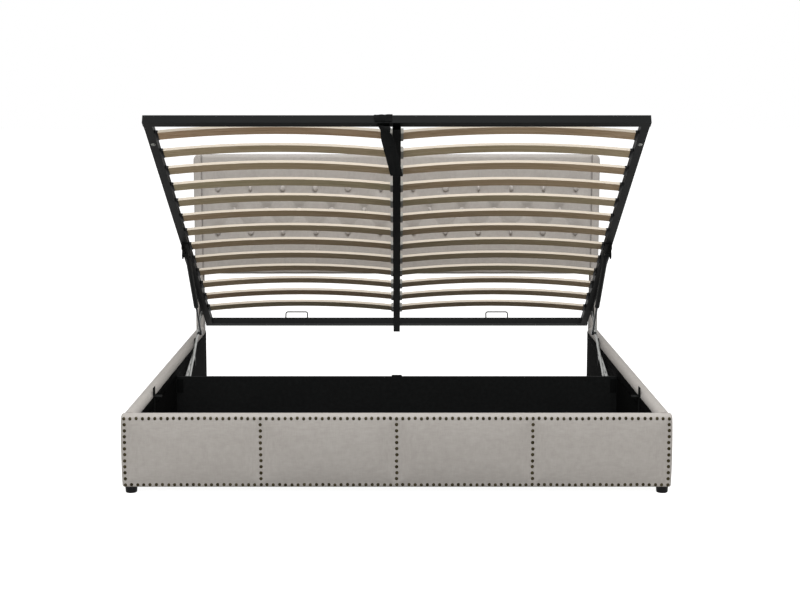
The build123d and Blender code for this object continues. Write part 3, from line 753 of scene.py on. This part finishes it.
pad_x = dense_steps(pad_lo.x, pad_hi.x, 6 * mm, 18 * mm)
pad_z = dense_steps(pad_lo.z, pad_hi.z, 6 * mm, 18 * mm)
grid_x, grid_z = np.meshgrid(pad_x, pad_z, indexing="ij")
fold_distance = np.full(grid_x.shape, 1.0)
for (x0, z0), (x1, z1) in folds:
    dx, dz = x1 - x0, z1 - z0
    share = np.clip(((grid_x - x0) * dx + (grid_z - z0) * dz) / (dx * dx + dz * dz), 0, 1)
    fold_distance = np.minimum(fold_distance, np.hypot(grid_x - x0 - share * dx, grid_z - z0 - share * dz))
button_distance = np.full(grid_x.shape, 1.0)
for row, x, z in buttons:
    button_distance = np.minimum(button_distance, np.hypot(grid_x - x, grid_z - z))
edge_distance = np.minimum(
    np.minimum(grid_x - pad_lo.x, pad_hi.x - grid_x), np.minimum(grid_z - pad_lo.z, pad_hi.z - grid_z)
)
sharp_fold = 2.2 * np.exp(-((fold_distance / (5 * mm)) ** 1.3))
soft_fold = 3.4 * np.exp(-((fold_distance / (34 * mm)) ** 2))
crease = sharp_fold + soft_fold
tuft = (tuft_depth / mm - 3) * np.exp(-((button_distance / (28 * mm)) ** 2.6))
ripple = 0.4 * np.sin(grid_x / (37 * mm)) * np.sin(grid_z / (52 * mm))
edge_round = np.vectorize(lambda e: round_inset(e, 17 * mm))(edge_distance)
pad_depth = np.minimum((crease + tuft + ripple * np.exp(-crease)) * mm, tuft_depth) - 1.0 * mm
pad_depth = np.maximum(pad_depth + edge_round, 0)

points = [
    (pad_x[i], pad_lo.y + float(pad_depth[i, j]), pad_z[j])
    for i in range(len(pad_x))
    for j in range(len(pad_z))
]
rows, columns = len(pad_x), len(pad_z)
faces = [
    (i * columns + j, (i + 1) * columns + j, (i + 1) * columns + j + 1, i * columns + j + 1)
    for i in range(rows - 1)
    for j in range(columns - 1)
]
border = [i * columns for i in range(rows)]
border += [(rows - 1) * columns + j for j in range(1, columns)]
border += [i * columns + columns - 1 for i in range(rows - 2, -1, -1)]
border += [j for j in range(columns - 2, 0, -1)]
back_start = len(points)
for index in border:
    x, y, z = points[index]
    points.append((x, pad_hi.y, z))
count = len(border)
for i in range(count):
    j = (i + 1) % count
    faces.append((border[i], border[j], back_start + j, back_start + i))
faces.append(tuple(back_start + i for i in range(count)))
headboard = from_faces("tufted_headboard_pad", points, faces, linen)
inner = {
    i * columns + j
    for i in range(rows)
    for j in range(columns)
    if edge_distance[i, j] > edge_grip and button_distance[i, j] > button_grip
}
puff_up(headboard, inner, 5 * mm)
finish_piece(headboard, "base", "upholstery_fabric", "headboard_pad")

# Covered buttons, deep in their tufts; the stamp has radius 1
button_stamp = lathe("button stamp", dome(0.46, rings=7, rim=0.13), linen, sides=32)
button_seats = [
    ((x, pad_lo.y + tuft_depth - button_proud, z), (math.radians(90), 0, random.uniform(0, 3)))
    for row, x, z in buttons
]
button_piece = scatter("fabric_buttons", button_seats, button_stamp, linen, size=button_radius)
finish_piece(button_piece, "base", "upholstery_fabric", "headboard_buttons")

# CAD nodes that stay, by finish: single ones, and pairs with one on each side
kept = (
    (board, ("footboard_core", "divider_board", "floor_battens", "centre_runner"), ()),
    (board, (), ("rail_core", "floor_panel")),
    (lining, ("footboard_lining",), ("rail_lining",)),
    (wrapped, ("headboard_board",), ()),
    (plastic, ("glide_feet", "tube_end_caps"), ()),
    (grey_plastic, ("centre_slat_holders",), ()),
    (rubber, ("rest_pad",), ()),
    (shade_darkened_matt_coat, ("seat_brackets", "guide_brackets", "divider_brackets"), ()),
    # The beam takes the darker matt coat: its black is partly painted shade for its place under the deck
    (shade_darkened_matt_coat, ("centre_beam", "mattress_retainers"), ()),
    (zinc, (), ("base_plate", "front_link")),
    (black_steel, ("foot_tube", "head_tube"), ("side_tube", "top_plate", "rear_link", "strut_cylinder")),
    (rod_steel, (), ("strut_rod",)),
    (beech, tuple(f"slat_row_{row:02d}" for row in range(1, slat_rows + 1)), ()),
)
finishes = {}
for finish, singles, pairs in kept:
    finishes.update({name: finish for name in singles})
    finishes.update({f"{side}_{name}": finish for name in pairs for side in ("left", "right")})
for node, finish in finishes.items():
    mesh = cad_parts[node].data
    mesh.materials.clear()
    mesh.materials.append(finish)


def deck_place(x, along, up):
    """Point at a place across the bed, along the deck and above its underside."""
    return deck_corner + Vector((x, 0, 0)) + deck_along * along + deck_normal * up


# Side slat holders: slim sleeves that hug the slat ends, in the CAD holders' places
def along_and_up(point):
    """Place of a point in the deck's own length and height."""
    offset = Vector(point) - deck_corner
    return offset.dot(deck_along), offset.dot(deck_normal)


side_tube_edge = max(abs(vertex.co.x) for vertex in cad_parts["side_slat_holders"].data.vertices)
slat_ends = []
for row in range(1, slat_rows + 1):
    slat_points = [vertex.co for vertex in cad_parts[f"slat_row_{row:02d}"].data.vertices]
    outer_end = max(abs(p.x) for p in slat_points)
    places = [along_and_up(p) for p in slat_points if abs(p.x) > outer_end - 0.5 * mm]
    slat_ends.append((min(places)[0], max(places)[0], min(u for a, u in places), max(u for a, u in places)))
slat_width = slat_ends[0][1] - slat_ends[0][0]
slat_height = slat_ends[0][3] - slat_ends[0][2]
sleeve_length = 13 * mm
sleeve_sides = 16
wall = 2.2 * mm


def sleeve_ring(wider, higher, radius, share):
    """Rounded rectangle, wider and higher than the slat end on each side, at a share of the sleeve's length."""
    ring = []
    for turn in range(sleeve_sides):
        angle = 2 * math.pi * (turn + 0.5) / sleeve_sides
        c, d = math.cos(angle), math.sin(angle)
        half_width = math.copysign(slat_width / 2 + wider - radius, c)
        half_height = math.copysign(slat_height / 2 + higher - radius, d)
        ring.append((share * sleeve_length, half_width + radius * c, half_height + radius * d))
    return ring


# From the tube out to the sleeve's mouth, and back in along the slat
sleeve_rings = [
    sleeve_ring(wall, wall + 1.0 * mm, 4 * mm, 0),
    sleeve_ring(wall, wall, 4 * mm, 0.35),
    sleeve_ring(wall * 0.8, wall * 0.8, 4 * mm, 0.92),
    sleeve_ring(wall * 0.5, wall * 0.5, 4 * mm, 1),
    sleeve_ring(-0.2 * mm, -0.2 * mm, 2 * mm, 1),
    sleeve_ring(-0.2 * mm, -0.2 * mm, 2 * mm, 0.3),
]
points = [point for ring in sleeve_rings for point in ring]
sleeve_stamp = from_faces("sleeve stamp", points, ring_faces(len(sleeve_rings), sleeve_sides), plastic)
sleeve_seats = []
for low_along, high_along, low_up, high_up in slat_ends:
    for side in (-1, 1):
        centre = deck_place(side * side_tube_edge, (low_along + high_along) / 2, (low_up + high_up) / 2)
        # Local X points in from the tube, local Y lies along the deck
        inward = Vector((-side, 0, 0))
        turn = Matrix((inward, deck_along, inward.cross(deck_along))).transposed()
        sleeve_seats.append((centre, tuple(turn.to_euler())))
sleeves = scatter("slat_end_sleeves", sleeve_seats, sleeve_stamp, plastic)
finish_piece(sleeves, "deck", "black_plastic", "side_slat_holders")


# Pull strap: webbing wrapped round the foot tube, with a doubled tail that hangs and twists a little
web = 1.6 * mm
tail_length = 192 * mm

# Place of the wrap across the bed, in millimetres
wrap_middle = -51
# The crumpled wrap, from the tube's front over its top, down behind it and under it: place along
# and up in tube widths, half width in millimetres, and depth of the gathers
wrap = [
    (-0.08, 0.1, 33, 1.0), (-0.12, 0.35, 35, 2.0), (-0.1, 0.7, 34, 1.5), (-0.09, 1.05, 35, 1.0),
    (0.15, 1.17, 34, 2.0), (0.5, 1.15, 36, 2.0), (0.85, 1.14, 34, 1.5), (1.1, 1.05, 32, 1.0),
    (1.12, 0.6, 30, 1.0), (1.1, 0.1, 27, 1.5), (0.8, -0.12, 24, 2.0), (0.4, -0.2, 21, 2.5),
]
# The sections over the tube's top, where the gathers stand up
over_top = (4, 5, 6, 7)
# The tail, down to its cut end: place across the bed and half width in millimetres, turn about
# the hang in degrees, and depth of the gathers
tail = [
    (-46.5, 29.0, -20, 3.0), (-43.5, 17.5, -26, 3.2), (-38.5, 24.0, -16, 1.8), (-34.5, 26.0, -7, 1.0),
    (-30.5, 26.0, 0, 0.7), (-26.5, 25.5, 4, 0.6), (-23.0, 25.5, 7, 0.6), (-19.0, 25.0, 9, 0.7),
    (-15.0, 25.0, 9, 0.8), (-11.0, 25.0, 8, 0.8), (-7.0, 24.5, 8, 0.7), (-3.5, 24.5, 8, 0.6),
    (0.0, 24.5, 9, 0.5),
]


def strap_sheet():
    """Sections of the strap as (left, right, fold), along the wrap and then the tail."""
    made = []
    for number, (along, up, half, fold) in enumerate(wrap):
        slide = wrap_middle + 2.5 * math.sin(number * 1.9)
        centre = deck_place(slide * mm, along * tube, up * tube)
        skew = deck_along * 3 * mm * math.sin(number * 1.3)
        across = Vector((half * mm, 0, 0))
        made.append((centre - across - skew, centre + across + skew, fold))
    top = deck_place(0, 2 * mm, -9 * mm)
    for number, (place, half, turn, fold) in enumerate(tail):
        share = (number + 0.4) / (len(tail) - 0.6)
        across = Vector((math.cos(math.radians(turn)), math.sin(math.radians(turn)), -0.16 + 0.1 * share))
        sway = (3 + 5 * math.sin(share * math.pi)) * mm
        centre = Vector((place * mm, top.y - sway, top.z - tail_length * share))
        made.append((centre - across * half * mm, centre + across * half * mm, fold))
    return made


sections = strap_sheet()
across_steps = 16
points, faces = [], []
for number, (left, right, fold) in enumerate(sections):
    out = deck_normal if number in over_top else Vector((0, -1, 0))
    for i in range(across_steps + 1):
        share = i / across_steps
        gather = fold * mm * math.sin(5 * math.pi * share + number * 0.45) * math.sin(math.pi * share)
        points.append(left.lerp(right, share) + out * gather)
for row in range(len(sections) - 1):
    for i in range(across_steps):
        a = row * (across_steps + 1) + i
        b = a + across_steps + 1
        faces.append((a, a + 1, b + 1, b))
strap = from_faces("pull_strap_web", points, faces, webbing)
thick = strap.modifiers.new("web", "SOLIDIFY")
thick.thickness = web
thick.offset = 0
smooth = strap.modifiers.new("smooth", "SUBSURF")
smooth.levels = smooth.render_levels = 1
strap = bake(strap, "pull_strap_web", webbing)
finish_piece(strap, "deck", "strap_webbing", "pull_strap")


# Deck bolts: one head under each side tube, turned from (radius, height) points in millimetres
bolt_along = 173 * mm
bolt_outline = [(9.5, -1), (9.5, 0.6), (8.6, 1.4), (6.4, 3.2), (3.6, 4.4), (3.4, 2.4), (0.1, 2.2)]
bolt_profile = [(radius * mm, height * mm) for radius, height in bolt_outline]
bolt_stamp = lathe("bolt stamp", bolt_profile, zinc, sides=20)
deck_down = tuple((-deck_normal).to_track_quat("Z", "Y").to_euler())
tube_middle = tube_hi.x - tube / 2
bolt_seats = [(deck_place(side * tube_middle, bolt_along, 0), deck_down) for side in (-1, 1)]
bolts = scatter("deck_bolts", bolt_seats, bolt_stamp, zinc)
finish_piece(bolts, "deck", "zinc_steel")


# Studio: floor, light and camera
floor_reach = 60
floor_grey = "b6b5b3"
floor_glow = 0.95
sky_light = 0.38
# The patch of floor under the bed that throws back little light: its colour, centre and
# stretch, and where it starts and ends to fade
patch_grey = "0e0e0e"
patch_shift = (0, -0.15, 0)
patch_stretch = (0.7, 0.6, 1)
patch_fade = (0.7, 1.1)


def seen_directly(tree):
    """1 for camera, mirror and glass rays, 0 for the light that falls on things."""
    path = add_node(tree, "ShaderNodeLightPath").outputs
    seen = path["Is Camera Ray"]
    for ray in ("Is Glossy Ray", "Is Transmission Ray"):
        seen = add_node(tree, "ShaderNodeMath", {0: seen, 1: path[ray]}, operation="MAXIMUM").outputs[0]
    return seen


def make_floor():
    """A wide pale floor: near white where it is seen, with the bed's soft shadow on it.

    The light it throws back is dimmed under the bed, as a black cloth laid there does in a studio.
    """
    mesh = bpy.data.meshes.new("studio_floor")
    corners = [(x * floor_reach, y * floor_reach, 0) for x, y in ((-1, -1), (1, -1), (1, 1), (-1, 1))]
    mesh.from_pydata(corners, [], [(0, 1, 2, 3)])
    paint, tree, shader = new_material("matt studio floor", floor_grey, roughness=0.95)
    glow = add_node(tree, "ShaderNodeEmission", {"Color": (1, 1, 1, 1), "Strength": floor_glow})
    both = add_node(tree, "ShaderNodeAddShader", {0: shader.outputs[0], 1: glow.outputs[0]})
    where = add_node(tree, "ShaderNodeTexCoord").outputs["Object"]
    placing = {"Vector": where, "Location": patch_shift, "Scale": patch_stretch}
    patch = add_node(tree, "ShaderNodeMapping", placing)
    away = add_node(tree, "ShaderNodeVectorMath", {0: patch.outputs[0]}, operation="LENGTH").outputs["Value"]
    fade = {"Value": away, "From Min": patch_fade[0], "From Max": patch_fade[1]}
    share = add_node(tree, "ShaderNodeMapRange", fade).outputs[0]
    greys = {0: share, 6: colour(patch_grey), 7: colour(floor_grey)}
    bounce = add_node(tree, "ShaderNodeMix", greys, data_type="RGBA").outputs[2]
    dimmed = add_node(tree, "ShaderNodeBsdfDiffuse", {"Color": bounce})
    shown = {0: seen_directly(tree), 1: dimmed.outputs[0], 2: both.outputs[0]}
    surface = add_node(tree, "ShaderNodeMixShader", shown).outputs[0]
    tree.links.new(surface, tree.nodes["Material Output"].inputs["Surface"])
    floor = new_object("studio_floor", mesh, paint, smooth=False)


def make_world():
    """White where it is seen, soft studio light for everything else."""
    world = bpy.data.worlds.new("studio")
    bpy.context.scene.world = world
    world.use_nodes = True
    tree = world.node_tree
    tree.nodes.clear()
    lit = add_node(tree, "ShaderNodeBackground", {"Color": (1, 1, 1, 1), "Strength": sky_light})
    white = add_node(tree, "ShaderNodeBackground", {"Color": (1, 1, 1, 1), "Strength": 1.0})
    shown = {0: seen_directly(tree), 1: lit.outputs[0], 2: white.outputs[0]}
    mixed = add_node(tree, "ShaderNodeMixShader", shown)
    add_node(tree, "ShaderNodeOutputWorld", {"Surface": mixed.outputs[0]})


def add_light(name, place, target, size, power):
    """A soft rectangular lamp of size metres and power watts that looks at target."""
    data = bpy.data.lights.new(name, "AREA")
    data.shape = "RECTANGLE"
    data.size, data.size_y = size
    data.energy = power
    light = bpy.data.objects.new(name, data)
    light.location = place
    light.rotation_euler = (Vector(target) - Vector(place)).to_track_quat("-Z", "Y").to_euler()
    bpy.context.scene.collection.objects.link(light)


make_floor()
make_world()
add_light("key_softbox", (-0.4, -5.5, 4.2), (0, 0, 0.4), (4.5, 2.5), 172)
add_light("front_fill", (-0.3, -5.0, 0.6), (0, 0, 0.7), (4.5, 1.0), 10)
add_light("top_softbox", (0.3, -1.2, 5.2), (0, 0.1, 0.4), (5.0, 4.0), 215)

# Camera at the photograph's viewing angle, its focal length and shift in pixels of a frame 800 wide
frame_width = 800
focal_length = 1515
frame_shift = 3.3
camera_distance = 5.461
camera_height = 1.4575
camera_drop = 7.65
camera = bpy.data.objects.new("camera", bpy.data.cameras.new("camera"))
bpy.context.scene.collection.objects.link(camera)
camera.location = (0, foot_lo.y - camera_distance, camera_height)
camera.rotation_euler = (math.radians(90 - camera_drop), 0, 0)
camera.data.sensor_width = 36
camera.data.lens = camera.data.sensor_width * focal_length / frame_width
camera.data.shift_x = frame_shift / frame_width
camera.data.clip_end = 100
bpy.context.scene.camera = camera
bpy.context.scene.view_settings.view_transform = "Standard"
